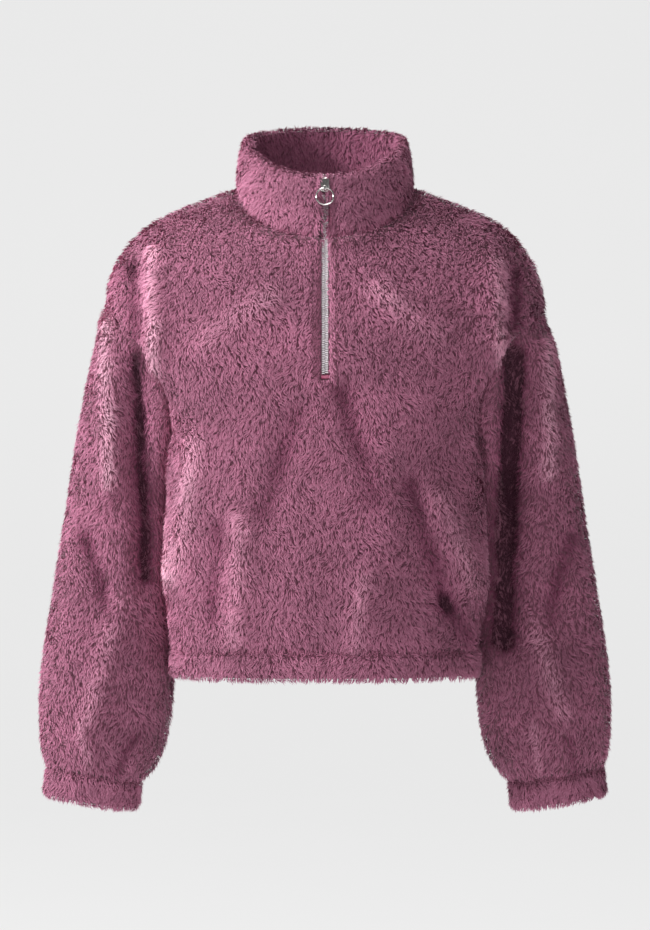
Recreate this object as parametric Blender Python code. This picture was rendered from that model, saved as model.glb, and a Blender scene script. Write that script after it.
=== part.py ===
"""Cropped half-zip teddy fleece top, worn shape with no wearer inside.

The origin is the middle of the neck base, at the height of the shoulder's high points.
+Z is up and the front faces -Y. Sizes here are millimetres, and MM turns them into metres.
The wall of each cloth piece is the knit backing with its pile, so it is as thick as the fleece.
"""

import math
from collections import namedtuple

import bpy
import numpy as np

MM = 0.001

# Cloth
FLEECE = 6.0  # backing and pile of one layer
COLLAR_THICK = 13.0  # two layers and their turned edge
HEM_THICK = 8.0
CUFF_THICK = 7.0
SEAM_GAP = 0.3
SLEEVE_HEAD_EASE = 0.4  # the sleeve's own share of the gap at the armhole
SLEEVE_CLEARANCE = 2.6  # between the body and a hanging sleeve
ENOUGH_IN_LINE = 0.45  # cosine between two walls from which they share one mitred edge
FREE_AFTER = 18.0  # this far along a row from the armhole, the body hangs free of the sleeve
FREE_BELOW = 0.12  # and this many rows under the underarm
ROWS_BESIDE_SLEEVE = 1.6
ROUND_SLEEVE_REACH, ROUND_SLEEVE_SLOPE = 16.0, 0.3  # the body bends round the sleeve this far past its edge
SOFT_WHERE_SEWN, SOFT_WHERE_FREE = 0.3, 1.6  # how gently a row bends in beside the sleeve
FOLDS_FREE_AFTER = 1.7  # columns in from a seam where folds reach their full height

# Grid counts
SIDE_ROWS = (0.0, 0.06, 0.16, 0.30, 0.45, 0.60, 0.74, 0.87)
ARMHOLE_ROWS = 14
SHOULDER_ROWS = 6
HALF_COLUMNS = 13  # from a seam to the centre cell, on each side of a panel
SAMPLES = 80  # fine points on a row before it is shared out evenly
CAP_ROWS = 8  # sleeve rows between the armhole and the first level ring

# Body. Row 0 is the hem seam, 1 the underarm, 2 the shoulder tip and 3 the neck seam.
Seam = namedtuple("Seam", "row x y z")
SIDE_SEAM = (
    Seam(0.00, 160.0, -2, -481),
    Seam(0.16, 158.5, 2, -443),
    Seam(0.45, 157.5, 6, -376),
    Seam(0.74, 157.0, 8, -310),
    Seam(1.00, 157.6, 8, -256),
)
ARMHOLE = {
    "front": (
        Seam(1.00, 157.6, 8, -256),
        Seam(1.22, 161.5, -36, -240),
        Seam(1.45, 168.5, -58, -202),
        Seam(1.68, 192.0, -62, -157),
        Seam(1.86, 225.0, -43, -130),
        Seam(2.00, 237.5, -2, -110),
    ),
    "back": (
        Seam(1.00, 157.6, 8, -256),
        Seam(1.22, 161.5, 48, -240),
        Seam(1.45, 169.0, 67, -202),
        Seam(1.68, 193.0, 66, -155),
        Seam(1.86, 226.0, 43, -128),
        Seam(2.00, 237.5, -2, -110),
    ),
}
SHOULDER_SEAM = (
    Seam(2.00, 237.5, -2, -110),
    Seam(2.17, 234.5, -3, -82),
    Seam(2.34, 222.0, -4, -56),
    Seam(2.52, 201.0, -5, -29),
    Seam(2.70, 168.0, -5, -9),
    Seam(2.86, 130.0, -4, 5),
    Seam(3.00, 96.0, -3, 17),
)
Centre = namedtuple("Centre", "row y z")
CENTRE = {
    "front": (
        Centre(0.00, -115, -479),
        Centre(0.06, -119, -465),
        Centre(0.16, -122, -440),
        Centre(0.60, -123, -350),
        Centre(1.00, -122, -275),
        Centre(1.7143, -121, -194),
        Centre(2.00, -119, -165),
        Centre(2.34, -112, -127),
        Centre(2.70, -101, -81),
        Centre(3.00, -88, -43),
    ),
    "back": (
        Centre(0.00, 97, -481),
        Centre(0.06, 101, -467),
        Centre(0.16, 103, -440),
        Centre(0.60, 104, -345),
        Centre(1.00, 107, -262),
        Centre(2.00, 109, -128),
        Centre(2.34, 106, -86),
        Centre(2.70, 94, -30),
        Centre(3.00, 70, 26),
    ),
}
# The row's widest half width, its corner squareness, the angle where the row leaves its seam, how far
# along y the side is drawn in towards the seam, and how late the row drops from its seam to the centre
Fullness = namedtuple("Fullness", "row half_width square start reach late")
FULLNESS = (
    Fullness(0.00, 170.0, 2.6, 0, 60, 1.0),
    Fullness(0.06, 174.5, 2.6, 0, 60, 1.0),
    Fullness(0.16, 177.0, 2.6, 0, 60, 1.0),
    Fullness(0.60, 178.0, 2.6, 0, 65, 1.0),
    Fullness(1.00, 177.0, 2.6, 0, 80, 1.0),
    Fullness(1.22, 174.0, 2.6, 2, 70, 1.0),
    Fullness(1.45, 175.0, 2.6, 6, 45, 1.2),
    Fullness(1.68, 196.0, 2.5, 14, 30, 1.6),
    Fullness(1.86, 234.0, 2.3, 16, 20, 2.0),
    Fullness(2.00, 237.5, 2.2, 0, 20, 2.2),
    Fullness(2.17, 234.5, 2.2, 0, 20, 2.1),
    Fullness(2.34, 222.0, 2.2, 0, 20, 1.9),
    Fullness(2.52, 201.0, 2.2, 0, 20, 1.7),
    Fullness(2.70, 168.0, 2.15, 0, 20, 1.45),
    Fullness(2.86, 130.0, 2.1, 0, 20, 1.2),
    Fullness(3.00, 96.0, 2.0, 0, 20, 1.0),
)
RIGHT_SIDE_FULLER = 3.0  # the right side stands out this much more below the armhole
ZIP_BOTTOM_ROW = 1.7143  # a row of the armhole's fourteen, at the zip's lower end
SLIT_HALF = 5.2
COLLAR_SLIT_HALF = 4.6
BACK_CELL_HALF = 6.0

# Folds: soft ridges (height over 0) and troughs on the line from one point to another, seen from the front
Fold = namedtuple("Fold", "face x0 z0 x1 z1 half_width height")
BODY_FOLDS = (
    Fold("front", -180, -68, -176, -290, 14, 7.0),
    Fold("front", -206, -75, -199, -135, 12, -7.0),
    Fold("front", 178, -68, 183, -282, 14, 7.0),
    Fold("front", 205, -78, 200, -132, 12, -6.0),
    Fold("front", -137, -268, -155, -362, 15, 5.0),
    Fold("front", -85, -335, -92, -452, 16, 4.5),
    Fold("front", -118, -385, -112, -452, 14, -4.5),
    Fold("front", 86, -301, 122, -423, 16, -6.0),
    Fold("front", 122, -318, 154, -405, 15, 5.0),
    Fold("front", -30, -400, -20, -455, 18, 3.5),
    Fold("front", 55, -385, 48, -452, 16, 4.0),
    Fold("back", -172, -85, -168, -270, 15, 6.0),
    Fold("back", 173, -85, 169, -262, 15, 6.0),
    Fold("back", -112, -200, -138, -350, 17, -5.5),
    Fold("back", 104, -225, 130, -372, 17, -5.5),
    Fold("back", -52, -350, -60, -450, 16, 4.5),
    Fold("back", 38, -320, 47, -445, 17, 4.5),
)

# Sleeves, right-hand side: level rings below the underarm
Ring = namedtuple("Ring", "z x y half_width half_depth tilt")
SLEEVE_RINGS = (
    Ring(-620, 253.0, 10, 50.0, 31.0, 0.16),
    Ring(-611, 250.5, 10, 58.5, 38.0, 0.15),
    Ring(-598, 247.0, 10, 65.0, 44.0, 0.14),
    Ring(-575, 243.0, 11, 70.0, 48.5, 0.11),
    Ring(-518, 238.5, 12, 73.5, 51.0, 0.05),
    Ring(-430, 231.0, 14, 68.5, 51.0, 0.00),
    Ring(-330, 222.5, 15, 61.5, 50.0, 0.00),
)
RING_HEIGHTS = (-330, -362, -396, -430, -466, -500, -532, -558, -580, -598, -611, -620)
SLEEVE_SQUARE = 2.15
CAP_OUTWARD = 0.42  # how far the sleeve head leans out as it leaves the shoulder tip
CAP_PULL = 0.9
CAP_FOLDS_FREE_AFTER = 3  # rows down from the armhole where folds reach their full height
SLEEVE_FOLDS = {
    "left": (
        Fold("front", 234, -140, 233, -290, 14, 6.0),
        Fold("front", 204, -175, 200, -300, 13, -7.5),
        Fold("front", 262, -330, 232, -470, 16, -5.0),
        Fold("front", 222, -430, 250, -560, 15, 5.0),
        Fold("back", 232, -150, 236, -300, 15, 4.0),
        Fold("back", 258, -350, 225, -480, 16, -4.0),
    ),
    "right": (
        Fold("front", 238, -140, 240, -275, 14, 5.5),
        Fold("front", 209, -175, 206, -320, 13, -8.0),
        Fold("front", 268, -345, 240, -455, 15, -4.5),
        Fold("front", 228, -450, 252, -545, 16, 5.0),
        Fold("back", 230, -145, 232, -290, 15, 4.0),
        Fold("back", 262, -370, 232, -500, 16, -4.0),
    ),
}
SLEEVE_GATHERS, GATHER_HEIGHT = 7, 2.6  # soft waves round the sleeve above its cuff
GATHER_FROM, GATHER_FULL = -545, -600
GATHER_AT_SEAM = 0.3  # of their height, where they are sewn to the cuff

# Casings: how far down from the seam, and how far out of the seam's line
Profile = namedtuple("Profile", "drop out")
HEM_PROFILE = (
    Profile(0.3, 0.0),
    Profile(6.0, 3.6),
    Profile(15.0, 5.0),
    Profile(23.0, 3.8),
    Profile(28.0, 0.0),
)
HEM_GATHERS, HEM_GATHER_HEIGHT = 13, 0.9
CUFF_PROFILE = (
    Profile(0.3, 0.0),
    Profile(7.0, 2.4),
    Profile(15.0, 3.0),
    Profile(24.0, 2.2),
    Profile(30.0, -0.5),
)
CUFF_GATHERS, CUFF_GATHER_HEIGHT = 7, 0.8

# Collar: its top edge over the neck seam
COLLAR_TOP_NARROWER = 0.925
COLLAR_TOP_FRONT_Y, COLLAR_TOP_BACK_Y, COLLAR_TOP_SIDE_Y = -74.0, 60.0, 0.0
COLLAR_TOP_FRONT_Z, COLLAR_TOP_SIDE_Z, COLLAR_TOP_BACK_Z = 28.0, 77.0, 94.0
COLLAR_BULGE = 2.5
COLLAR_OUTER_HEIGHTS = (0.28, 0.58)
COLLAR_RIM_ANGLES = (0, 45, 90, 135, 180)
COLLAR_FULL_WIDTH_BESIDE_ZIP = 30.0  # the top edge starts to narrow this far from the zip
COLLAR_TURNS_BESIDE_ZIP = 60.0  # within this, the wall's thickness points straight back

# Zip, measured into the cloth from the pile's surface
CHAIN_HALF_WIDTH, CHAIN_DEPTHS = 3.3, (3.8, 6.0)
TAPE_DEPTHS = (6.7, 7.7)
TAPE_INNER_X, TAPE_WIDE_X, TAPE_NARROW_X = 0.15, 14.0, 4.2
TAPE_WIDE_TO = -50.0  # the tape's wide part ends here, under the neck seam
STOP_HALF_WIDTH, STOP_HEIGHT, STOP_DEPTHS = 4.2, 3.4, (1.6, 3.5)
SLIDER_Z = (6.0, 20.0)
SLIDER_BODY_HALF, SLIDER_BODY_DEPTHS = 3.9, (-0.2, 6.0)
SLIDER_PLATE_HALF, SLIDER_PLATE_DEPTHS = 4.4, (-1.5, 0.4)
TOP_STOP_Z, TOP_STOP_DEPTHS = (20.6, 25.0), (1.0, 6.0)
ZIP_IN_COLLAR = (0.12, 0.35, 0.6, 0.8, 0.97)  # shares of the collar's height
STATIONS_APART = 1.5  # at least, between a zip piece's end and its next section
TAPE_FROM_COLLAR_TOP = 1.0
BAIL_HALF_WIDTH, BAIL_WIRE = 1.5, 1.2
BAIL_HOLE_HALF, BAIL_CORNER = 1.75, 1.2
BAIL_FOOT_ABOVE_SURFACE = 1.0
PIVOT_ABOVE_SLIDER_FOOT = 3.0
PIVOT_DEPTH = -3.4
RING_MEAN_RADIUS, RING_WIRE_RADIUS = 9.2, 0.95

FLEECE_COLOUR = (0.30, 0.11, 0.17, 1.0)
TAPE_COLOUR = (0.42, 0.10, 0.20, 1.0)
TEETH_COLOUR = (0.78, 0.74, 0.74, 1.0)
STOP_COLOUR = (0.48, 0.08, 0.17, 1.0)
STEEL_COLOUR = (0.72, 0.70, 0.69, 1.0)


def clear_scene():
    for thing in list(bpy.data.objects):
        bpy.data.objects.remove(thing)


def material(name, colour, roughness, metallic=0.0):
    made = bpy.data.materials.new(name)
    made.use_nodes = True
    shader = made.node_tree.nodes["Principled BSDF"]
    shader.inputs["Base Color"].default_value = colour
    shader.inputs["Roughness"].default_value = roughness
    shader.inputs["Metallic"].default_value = metallic
    return made


def solid(name, points, faces, finish):
    """One closed body from points in millimetres, facing out."""
    mesh = bpy.data.meshes.new(name)
    mesh.from_pydata([tuple(np.asarray(point) * MM) for point in points], [], faces)
    corners = np.array(points, float)
    volume = 0.0
    for face in faces:
        for second, third in zip(face[1:], face[2:]):
            volume += np.dot(corners[face[0]], np.cross(corners[second], corners[third]))
    if volume < 0:
        mesh.flip_normals()
    mesh.shade_smooth()
    mesh.set_sharp_from_angle(angle=math.radians(50))
    mesh.materials.append(finish)
    made = bpy.data.objects.new(name, mesh)
    bpy.context.collection.objects.link(made)
    return made


def bent(start, leave, end, arrive, t):
    """The place at share t of a smooth curve from start to end that leaves and arrives along these runs."""
    first = (1 + 2 * t) * (1 - t) ** 2 * start + t * (1 - t) ** 2 * leave
    last = t * t * (3 - 2 * t) * end + t * t * (t - 1) * arrive
    return first + last


def along(table, at):
    """The other columns of a table at a value of its first column, on a smooth curve through its rows."""
    knots = np.array([row[0] for row in table], float)
    values = np.array([row[1:] for row in table], float)
    slopes = np.gradient(values, knots, axis=0)
    spot = int(np.clip(np.searchsorted(knots, at, side="right") - 1, 0, len(knots) - 2))
    span = knots[spot + 1] - knots[spot]
    t = min(max((at - knots[spot]) / span, 0.0), 1.0)
    return bent(values[spot], span * slopes[spot], values[spot + 1], span * slopes[spot + 1], t)


def faded(share):
    """1 at share 0, falling softly to 0 at share 1 and beyond."""
    return math.cos(0.5 * math.pi * min(abs(share), 1.0)) ** 2


def unit(vector):
    return vector / np.linalg.norm(vector)


def fold_height(folds, face, x, z):
    total = 0.0
    for fold in folds:
        if fold.face != face:
            continue
        run = np.array([fold.x1 - fold.x0, fold.z1 - fold.z0], float)
        away = np.array([x - fold.x0, z - fold.z0], float)
        t = min(max(away.dot(run) / run.dot(run), 0.0), 1.0)
        distance = np.linalg.norm(away - t * run)
        total += fold.height * math.exp(-((distance / fold.half_width) ** 2))
    return total


def body_rows():
    rows = list(SIDE_ROWS)
    rows += [1 + step / ARMHOLE_ROWS for step in range(ARMHOLE_ROWS)]
    rows += [2 + step / SHOULDER_ROWS for step in range(SHOULDER_ROWS + 1)]
    return rows


def seam_point(row, face):
    """Where a body row ends on the right: at the side seam, the armhole or the shoulder seam."""
    if row <= 1:
        return along(SIDE_SEAM, row)
    if row < 2:
        return along(ARMHOLE[face], row)
    return along(SHOULDER_SEAM, row)


def half_row(row, face, side):
    """Points of one row of a panel, from its seam to the centre cell, on the side with this sign."""
    seam_x, seam_y, seam_z = seam_point(row, face)
    centre_y, centre_z = along(CENTRE[face], row)
    half_width, square, start, reach, late = along(FULLNESS, row)
    if row < 1:
        half_width += side * RIGHT_SIDE_FULLER * math.sin(math.pi * row) ** 0.5
    power = 2 / square
    start = math.radians(max(start, 0.0))
    cell_half = BACK_CELL_HALF
    if face == "front":
        cell_half = SLIT_HALF + (COLLAR_SLIT_HALF - SLIT_HALF) * max(0.0, row - 2)
    stop = math.acos((cell_half / half_width) ** (square / 2))
    drawn_in = half_width * math.cos(start) ** power - seam_x
    fine = []
    for sample in range(SAMPLES + 1):
        angle = start + (stop - start) * sample / SAMPLES
        run = (math.sin(angle) ** power - math.sin(start) ** power) / (1 - math.sin(start) ** power)
        y = seam_y + (centre_y - seam_y) * run
        z = seam_z + (centre_z - seam_z) * max(run, 0.0) ** late
        x = half_width * math.cos(angle) ** power - drawn_in * faded((y - seam_y) / reach)
        fine.append((x, y, z))
    shared = evenly(np.array(fine), HALF_COLUMNS)
    shared[:, 0] *= side
    return shared


def clear_of_sleeve(line, row, face, sleeve_grid):
    """Half a row, from its seam inwards, drawn in where the sleeve hangs beside it."""
    away = np.linalg.norm(line - line[0], axis=1) / FREE_AFTER
    freedom = np.clip(np.maximum(away, (1 - row) / FREE_BELOW), 0, 1)
    sewn = 1 if row >= 1 else 0
    sign = math.copysign(1.0, line[0, 0])
    level = line * np.array([sign, 1.0, 1.0])
    line[sewn:, 0] = sign * beside_sleeve(level, face, sleeve_grid, freedom)[sewn:]


def evenly(points, count):
    """The line through these points, shared out into equal lengths."""
    lengths = np.concatenate([[0], np.cumsum(np.linalg.norm(np.diff(points, axis=0), axis=1))])
    wanted = np.linspace(0, lengths[-1], count + 1)
    return np.stack([np.interp(wanted, lengths, points[:, axis]) for axis in range(3)], axis=1)


def sleeve_wall_x(sleeve_grid, face, y, z):
    """How far out the sleeve's side towards the body lies at this depth and height, or None past it."""
    reach = ARMHOLE_ROWS // 2
    columns = range(reach + 1) if face == "front" else range(-reach, 1)
    near = []
    for column in columns:
        line = sleeve_grid[::-1, column]
        if line[-1, 2] >= z - 1e-6:
            near.append([np.interp(z, line[:, 2], line[:, axis]) for axis in range(2)])
    if len(near) < 2:
        return None
    near = np.array(near)
    order = np.argsort(near[:, 1])
    ys, xs = near[order, 1], near[order, 0]
    beyond = max(ys[0] - y, y - ys[-1], 0.0)
    if beyond > ROUND_SLEEVE_REACH:
        return None
    return float(np.interp(y, ys, xs)) + beyond * ROUND_SLEEVE_SLOPE


def beside_sleeve(points, face, sleeve_grid, freedom):
    """The x of each point, drawn in so that it stays clear of the sleeve that hangs beside it.

    Freedom is 0 where the point is sewn to the sleeve and 1 where it hangs free of it.
    """
    clear = []
    for (x, y, z), free in zip(points, freedom):
        wall = sleeve_wall_x(sleeve_grid, face, y, z)
        if wall is not None:
            soft = SOFT_WHERE_SEWN + (SOFT_WHERE_FREE - SOFT_WHERE_SEWN) * free
            most = wall - SLEEVE_CLEARANCE * free
            x = most - soft * math.log1p(math.exp(min((most - x) / soft, 60.0)))
        clear.append(x)
    return np.array(clear)


def body_grid(face, sleeve_grid):
    """Outer points of a whole panel: rows from the hem seam up, columns from the left seam to the right."""
    rows = []
    for row in body_rows():
        rows.append(np.concatenate([half_row(row, face, -1), half_row(row, face, 1)[::-1]]))
    grid = np.array(rows)
    normals = grid_normals({face: (grid, face == "back")}, face)
    for i, j in np.ndindex(grid.shape[:2]):
        x, _, z = grid[i, j]
        edge = min(j, grid.shape[1] - 1 - j)
        lift = fold_height(BODY_FOLDS, face, x, z) * (1 - faded(edge / FOLDS_FREE_AFTER))
        grid[i, j] += normals[i, j] * lift
    for i, row in enumerate(body_rows()):
        if row < ROWS_BESIDE_SLEEVE:
            clear_of_sleeve(grid[i, : HALF_COLUMNS + 1], row, face, sleeve_grid)
            clear_of_sleeve(grid[i, : HALF_COLUMNS : -1], row, face, sleeve_grid)
    return grid


def grid_cells(grid, closed=False):
    rows, columns = grid.shape[:2]
    for i in range(rows - 1):
        for j in range(columns if closed else columns - 1):
            yield (i, j), (i, (j + 1) % columns), (i + 1, (j + 1) % columns), (i + 1, j)


def point_key(point):
    return tuple(np.round(point, 3) + 0.0)


def normal_book(grids):
    """Area-weighted normals at each place that the grids share. Each grid says whether it is turned round."""
    book = {}
    for grid, turned, *closed in grids.values():
        for cell in grid_cells(grid, bool(closed)):
            a, b, c, d = (grid[spot] for spot in cell)
            normal = np.cross(c - a, d - b) * (-1 if turned else 1)
            for corner in (a, b, c, d):
                key = point_key(corner)
                book[key] = book.get(key, 0) + normal
    return book


def read_normals(book, grid):
    normals = np.empty_like(grid)
    for spot in np.ndindex(grid.shape[:2]):
        normals[spot] = unit(book[point_key(grid[spot])])
    return normals


def grid_normals(grids, name):
    return read_normals(normal_book(grids), grids[name][0])


def armhole_loop():
    """The right armhole: underarm, up the front to the shoulder tip, and down the back."""
    steps = range(ARMHOLE_ROWS)
    front = [seam_point(1 + step / ARMHOLE_ROWS, "front") for step in steps]
    back = [seam_point(2 - step / ARMHOLE_ROWS - 1e-9, "back") for step in steps]
    back[0] = seam_point(2, "back")
    return np.array(front + back)


def sleeve_ring(z):
    """One level ring of the right sleeve, in the armhole's order of columns."""
    x, y, half_width, half_depth, tilt = along(SLEEVE_RINGS, z)
    power = 2 / SLEEVE_SQUARE
    ring = []
    for column in range(2 * ARMHOLE_ROWS):
        angle = math.pi * column / ARMHOLE_ROWS
        cosine, sine = math.cos(angle), math.sin(angle)
        out = -math.copysign(abs(cosine) ** power, cosine) * half_width
        deep = -math.copysign(abs(sine) ** power, sine) * half_depth
        ring.append((x + out, y + deep, z + tilt * out))
    return np.array(ring)


def sleeve_grid_right(folds):
    loop = armhole_loop()
    first = sleeve_ring(RING_HEIGHTS[0])
    below = sleeve_ring(RING_HEIGHTS[0] - 10)
    rows = []
    for step in range(CAP_ROWS):
        t = step / CAP_ROWS
        row = []
        for column, (start, end) in enumerate(zip(loop, first)):
            length = np.linalg.norm(end - start)
            outer = 0.5 - 0.5 * math.cos(math.pi * column / ARMHOLE_ROWS)
            leave = unit(np.array([CAP_OUTWARD * outer, 0.0, -1.0])) * length * CAP_PULL
            arrive = unit(below[column] - end) * length * CAP_PULL
            row.append(bent(start, leave, end, arrive, t))
        rows.append(row)
    rows += [sleeve_ring(z) for z in RING_HEIGHTS]
    grid = np.array(rows)
    normals = grid_normals({"sleeve": (grid, True, True)}, "sleeve")
    for i, j in np.ndindex(grid.shape[:2]):
        if i == 0:
            continue
        x, y, z = grid[i, j]
        face = "front" if 0 < j < ARMHOLE_ROWS else "back"
        height = fold_height(folds, face, x, z) if j % ARMHOLE_ROWS else 0.0
        height *= 1 - faded(i / CAP_FOLDS_FREE_AFTER)
        near_cuff = min(max((GATHER_FROM - z) / (GATHER_FROM - GATHER_FULL), 0.0), 1.0)
        last = GATHER_AT_SEAM if i == len(grid) - 1 else 1.0
        wave = math.cos(SLEEVE_GATHERS * math.pi * j / ARMHOLE_ROWS)
        grid[i, j] += normals[i, j] * (height + GATHER_HEIGHT * near_cuff * last * wave)
    return grid


def mirrored(grid):
    return grid * np.array([-1.0, 1.0, 1.0])


def shared_at_armhole(body_book, sleeve_book, loop):
    """One mean normal serves body and sleeve where they run on into each other, so their rims lie flat."""
    for point in loop:
        key = point_key(point)
        body, sleeve = unit(body_book[key]), unit(sleeve_book[key])
        share = 1 - faded(max(body.dot(sleeve), 0.0) / ENOUGH_IN_LINE)
        mean = unit(body + sleeve) if share else body
        body_book[key] = body * (1 - share) + mean * share
        sleeve_book[key] = sleeve * (1 - share) + mean * share


def eased(grid, edges, amount):
    """The grid with these edges drawn back towards their neighbours by the amount."""
    moved = grid.copy()
    for edge in edges:
        near, next_in = {
            "first_column": (np.s_[:, 0], np.s_[:, 1]),
            "last_column": (np.s_[:, -1], np.s_[:, -2]),
            "first_row": (np.s_[0], np.s_[1]),
            "last_row": (np.s_[-1], np.s_[-2]),
        }[edge]
        run = grid[next_in] - grid[near]
        moved[near] += amount * run / np.linalg.norm(run, axis=-1, keepdims=True)
    return moved


def wall(name, grid, normals, thickness, finish, closed=False, skipped=()):
    """A closed cloth wall: the grid is its outer side, and its inner side lies a thickness behind."""
    rows, columns = grid.shape[:2]
    outer = grid.reshape(-1, 3)
    inner = outer - normals.reshape(-1, 3) * thickness
    count = len(outer)
    quads = []
    for cell in grid_cells(grid, closed):
        if cell[0] not in skipped:
            quads.append([i * columns + j for i, j in cell])
    edges = {(quad[k], quad[(k + 1) % 4]) for quad in quads for k in range(4)}
    faces = list(quads)
    faces += [[spot + count for spot in reversed(quad)] for quad in quads]
    faces += [[b, a, a + count, b + count] for a, b in edges if (b, a) not in edges]
    faces.sort()
    return solid(name, np.concatenate([outer, inner]), faces, finish)


def bar(name, stations, finish):
    """A closed body through sections of four or more points each, capped at both ends."""
    sides = len(stations[0])
    points = np.concatenate(stations)
    faces = []
    for i in range(len(stations) - 1):
        for j in range(sides):
            k = (j + 1) % sides
            faces.append([i * sides + j, i * sides + k, (i + 1) * sides + k, (i + 1) * sides + j])
    last = (len(stations) - 1) * sides
    faces.append(list(range(sides))[::-1])
    faces.append(list(range(last, last + sides)))
    return solid(name, points, faces, finish)


def casing_grid(ring, normals, profile, gathers, gather_height, down):
    """Rows of a gathered casing that hangs from a seam's ring."""
    rows = []
    columns = len(ring)
    for step, (drop, out) in enumerate(profile):
        middle = math.sin(math.pi * step / (len(profile) - 1))
        row = []
        for j, (point, normal) in enumerate(zip(ring, normals)):
            wave = gather_height * middle * math.cos(2 * math.pi * gathers * j / columns)
            row.append(point + down[j] * drop + normal * (out + wave))
        rows.append(row)
    return np.array(rows)


def level_normals(ring):
    """Outward directions across a ring, square to its line and to the vertical."""
    before, after = np.roll(ring, 1, axis=0), np.roll(ring, -1, axis=0)
    run = (after - before)[:, :2]
    across = np.stack([run[:, 1], -run[:, 0], np.zeros(len(ring))], axis=1)
    across /= np.linalg.norm(across, axis=1, keepdims=True)
    outward = ring - ring.mean(axis=0)
    return across * np.sign((across * outward).sum(axis=1).mean())


def build_body(fleece, right_sleeve, left_sleeve):
    grids = {}
    for face in ("front", "back"):
        grids[face] = (body_grid(face, right_sleeve["grid"]), face == "back")
    book = normal_book(grids)
    for sleeve in (right_sleeve, left_sleeve):
        shared_at_armhole(book, sleeve["book"], sleeve["grid"][0])
    rows = body_rows()
    slit = [(i, HALF_COLUMNS) for i, row in enumerate(rows) if row > ZIP_BOTTOM_ROW - 0.01]
    edges = ("first_column", "last_column", "first_row", "last_row")
    made = {}
    for face, (grid, _) in grids.items():
        normals = read_normals(book, grid)
        moved = eased(grid, edges, SEAM_GAP / 2)
        wall(face, moved, normals, FLEECE, fleece, skipped=slit if face == "front" else ())
        made[face] = {"grid": grid, "normals": normals}
    return made


def build_sleeve(side, sleeve, fleece):
    normals = read_normals(sleeve["book"], sleeve["grid"])
    moved = eased(sleeve["grid"], ("first_row",), SLEEVE_HEAD_EASE)
    moved = eased(moved, ("last_row",), SEAM_GAP / 2)
    wall("sleeve_" + side, moved, normals, FLEECE, fleece, closed=True)


def build_cuff(side, sleeve, fleece):
    ring, above = sleeve["grid"][-1], sleeve["grid"][-4]
    axis = unit(ring.mean(axis=0) - above.mean(axis=0))
    down = np.tile(unit(axis + np.array([0, 0, -1.0])), (len(ring), 1))
    grid = casing_grid(ring, level_normals(ring), CUFF_PROFILE, CUFF_GATHERS, CUFF_GATHER_HEIGHT, down)
    normals = grid_normals({"cuff": (grid, side == "right", True)}, "cuff")
    wall("cuff_" + side, grid, normals, CUFF_THICK, fleece, closed=True)


def build_hem(body, sleeve_grid, fleece):
    front, back = body["front"]["grid"][0], body["back"]["grid"][0]
    ring = np.concatenate([front, back[-2:0:-1]])
    down = np.tile([0, 0, -1.0], (len(ring), 1))
    grid = casing_grid(ring, level_normals(ring), HEM_PROFILE, HEM_GATHERS, HEM_GATHER_HEIGHT, down)
    for row in grid[1:]:
        sign = np.where(row[:, 0] < 0, -1.0, 1.0)
        level = row * np.stack([sign, np.ones(len(row)), np.ones(len(row))], axis=1)
        halves = {"front": level[:, 1] < SIDE_SEAM[0].y, "back": level[:, 1] >= SIDE_SEAM[0].y}
        for face, chosen in halves.items():
            free = np.ones(chosen.sum())
            row[chosen, 0] = sign[chosen] * beside_sleeve(level[chosen], face, sleeve_grid, free)
    normals = grid_normals({"hem": (grid, True, True)}, "hem")
    wall("hem_casing", grid, normals, HEM_THICK, fleece, closed=True)
    return grid


def neck_line(body):
    """Outer points, inner points and the way out, from the slit's right edge round the back to its left."""
    middle = HALF_COLUMNS + 1
    points, inner, way = [], [], []
    front, back = body["front"], body["back"]
    order = [("front", j) for j in range(middle, 2 * middle)]
    order += [("back", j) for j in range(2 * middle - 2, 0, -1)]
    order += [("front", j) for j in range(middle)]
    for face, j in order:
        part = front if face == "front" else back
        edge, below = part["grid"][-1, j], part["grid"][-2, j]
        points.append(edge)
        inner.append(edge - part["normals"][-1, j] * FLEECE)
        way.append(unit(edge - below))
    return np.array(points), np.array(inner), np.array(way)


def collar_top(point):
    """The top of the collar's outer side over a point of the neck seam."""
    x, y, _ = point
    side_y = SHOULDER_SEAM[-1].y
    if y < side_y:
        run = (y - side_y) / (CENTRE["front"][-1].y - side_y)
        end_y, end_z = COLLAR_TOP_FRONT_Y, COLLAR_TOP_FRONT_Z
    else:
        run = (y - side_y) / (CENTRE["back"][-1].y - side_y)
        end_y, end_z = COLLAR_TOP_BACK_Y, COLLAR_TOP_BACK_Z
    narrower = 1 + (COLLAR_TOP_NARROWER - 1) * min(abs(x) / COLLAR_FULL_WIDTH_BESIDE_ZIP, 1.0)
    height = COLLAR_TOP_SIDE_Z + (end_z - COLLAR_TOP_SIDE_Z) * run
    return np.array([x * narrower, COLLAR_TOP_SIDE_Y + (end_y - COLLAR_TOP_SIDE_Y) * run, height])


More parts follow.
